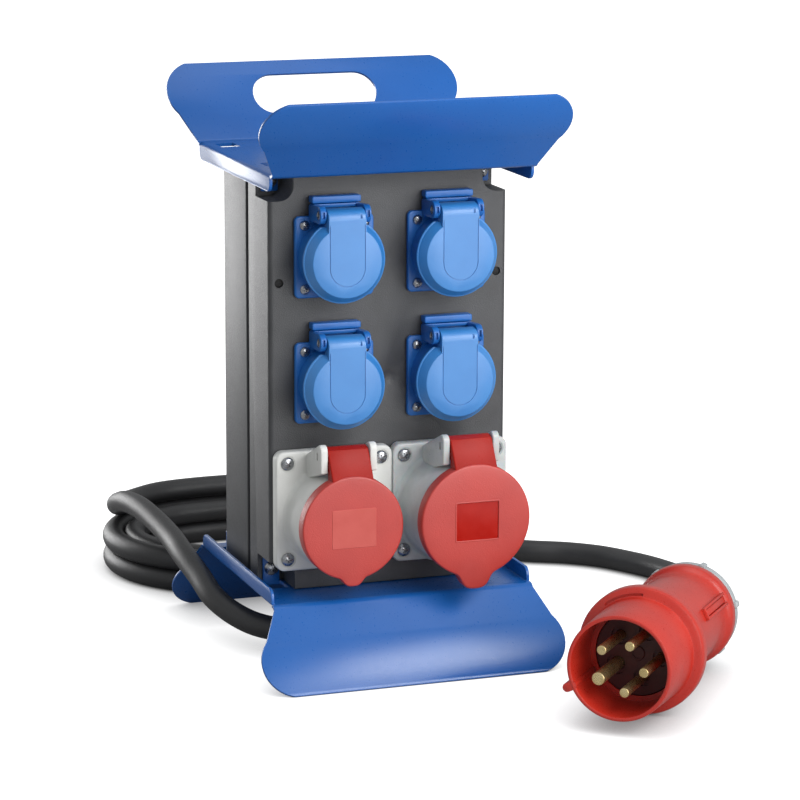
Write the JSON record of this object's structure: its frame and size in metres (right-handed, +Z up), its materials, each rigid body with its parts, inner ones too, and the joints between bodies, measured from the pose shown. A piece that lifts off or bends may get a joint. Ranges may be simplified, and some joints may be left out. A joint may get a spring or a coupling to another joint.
{
  "type": "portable power distribution box",
  "caption": "Portable power box with mains outlets and three-phase sockets on its front, held between bent sheet frames, with a rubber lead and plug.",
  "frame": {"origin": "on the floor, under the centre of the box and its frames", "axes": "+Z up, the outlets face -Y, +X to the right of someone facing the outlets"},
  "size_m": [0.361, 0.5457, 0.3562],
  "materials": {
    "frame_blue": "satin powder coat",
    "shell_black": "fine grain",
    "seal_rubber": "matte",
    "terminal_grey": "matte",
    "outlet_blue": "satin",
    "socket_grey": "satin",
    "socket_smoke": "satin",
    "lid_red": "satin",
    "plug_red": "satin",
    "plug_dark": "matte",
    "nut_grey": "satin",
    "contact_brass": "bright",
    "screw_steel": "bright zinc",
    "gland_black": "matte",
    "cable_rubber": "satin"
  },
  "bodies": {
    "box": {"front_shell": "shell_black", "rear_shell": "shell_black", "shell_seal": "seal_rubber", "terminal_block": "terminal_grey", "top_frame": "frame_blue", "bottom_frame": "frame_blue", "frame_screw_top_front_left": "screw_steel", "frame_screw_top_rear_left": "screw_steel", "frame_screw_top_front_right": "screw_steel", "frame_screw_top_rear_right": "screw_steel", "frame_screw_bottom_front_left": "screw_steel", "frame_screw_bottom_rear_left": "screw_steel", "frame_screw_bottom_front_right": "screw_steel", "frame_screw_bottom_rear_right": "screw_steel", "outlet_upper_left_housing": "outlet_blue", "outlet_upper_left_insert": "outlet_blue", "outlet_upper_left_hinge_pin": "screw_steel", "outlet_upper_right_housing": "outlet_blue", "outlet_upper_right_insert": "outlet_blue", "outlet_upper_right_hinge_pin": "screw_steel", "outlet_lower_left_housing": "outlet_blue", "outlet_lower_left_insert": "outlet_blue", "outlet_lower_left_hinge_pin": "screw_steel", "outlet_lower_right_housing": "outlet_blue", "outlet_lower_right_insert": "outlet_blue", "outlet_lower_right_hinge_pin": "screw_steel", "socket_16a_housing": "socket_grey", "socket_16a_insert": "socket_grey", "socket_16a_hinge_pin": "screw_steel", "socket_16a_screw_top_left": "screw_steel", "socket_16a_screw_top_right": "screw_steel", "socket_16a_screw_bottom_left": "screw_steel", "socket_16a_screw_bottom_right": "screw_steel", "socket_32a_housing": "socket_smoke", "socket_32a_insert": "socket_grey", "socket_32a_hinge_pin": "screw_steel", "socket_32a_screw_top_left": "screw_steel", "socket_32a_screw_top_right": "screw_steel", "socket_32a_screw_bottom_left": "screw_steel", "socket_32a_screw_bottom_right": "screw_steel", "cable_gland_elbow": "gland_black", "cable_gland_nut": "gland_black", "cable_hank": "cable_rubber", "cable_base_run": "cable_rubber", "cable_plug_run": "cable_rubber", "plug_shroud": "plug_red", "plug_handle": "plug_red", "plug_pin_carrier": "plug_dark", "plug_gland_nut": "nut_grey", "plug_earth_pin": "contact_brass", "plug_pin_1": "contact_brass", "plug_pin_2": "contact_brass", "plug_pin_3": "contact_brass", "plug_pin_4": "contact_brass"},
    "outlet_upper_left_cover": {"outlet_upper_left_lid": "outlet_blue"},
    "outlet_upper_right_cover": {"outlet_upper_right_lid": "outlet_blue"},
    "outlet_lower_left_cover": {"outlet_lower_left_lid": "outlet_blue"},
    "outlet_lower_right_cover": {"outlet_lower_right_lid": "outlet_blue"},
    "socket_16a_cover": {"socket_16a_lid": "lid_red"},
    "socket_32a_cover": {"socket_32a_lid": "lid_red"}
  },
  "joints": [
    {"name": "outlet_upper_left_lid_hinge", "type": "hinge", "parent": "box", "child": "outlet_upper_left_cover", "pos_m": [-0.036, -0.0683, 0.2836], "axis": [-1, 0, 0], "range_deg": [0, 100], "stiffness_Nm_per_rad": 0.01, "springref_deg": -45.84},
    {"name": "outlet_upper_right_lid_hinge", "type": "hinge", "parent": "box", "child": "outlet_upper_right_cover", "pos_m": [0.036, -0.0683, 0.2836], "axis": [-1, 0, 0], "range_deg": [0, 100], "stiffness_Nm_per_rad": 0.01, "springref_deg": -45.84},
    {"name": "outlet_lower_left_lid_hinge", "type": "hinge", "parent": "box", "child": "outlet_lower_left_cover", "pos_m": [-0.036, -0.0683, 0.2063], "axis": [-1, 0, 0], "range_deg": [0, 100], "stiffness_Nm_per_rad": 0.01, "springref_deg": -45.84},
    {"name": "outlet_lower_right_lid_hinge", "type": "hinge", "parent": "box", "child": "outlet_lower_right_cover", "pos_m": [0.036, -0.0683, 0.2063], "axis": [-1, 0, 0], "range_deg": [0, 100], "stiffness_Nm_per_rad": 0.01, "springref_deg": -45.84},
    {"name": "socket_16a_lid_hinge", "type": "hinge", "parent": "box", "child": "socket_16a_cover", "pos_m": [-0.0376, -0.0768, 0.1385], "axis": [-1, 0, 0], "range_deg": [0, 95], "stiffness_Nm_per_rad": 0.03, "springref_deg": -57.3},
    {"name": "socket_32a_lid_hinge", "type": "hinge", "parent": "box", "child": "socket_32a_cover", "pos_m": [0.0376, -0.0868, 0.142], "axis": [-1, 0, 0], "range_deg": [0, 95], "stiffness_Nm_per_rad": 0.03, "springref_deg": -57.3}
  ]
}
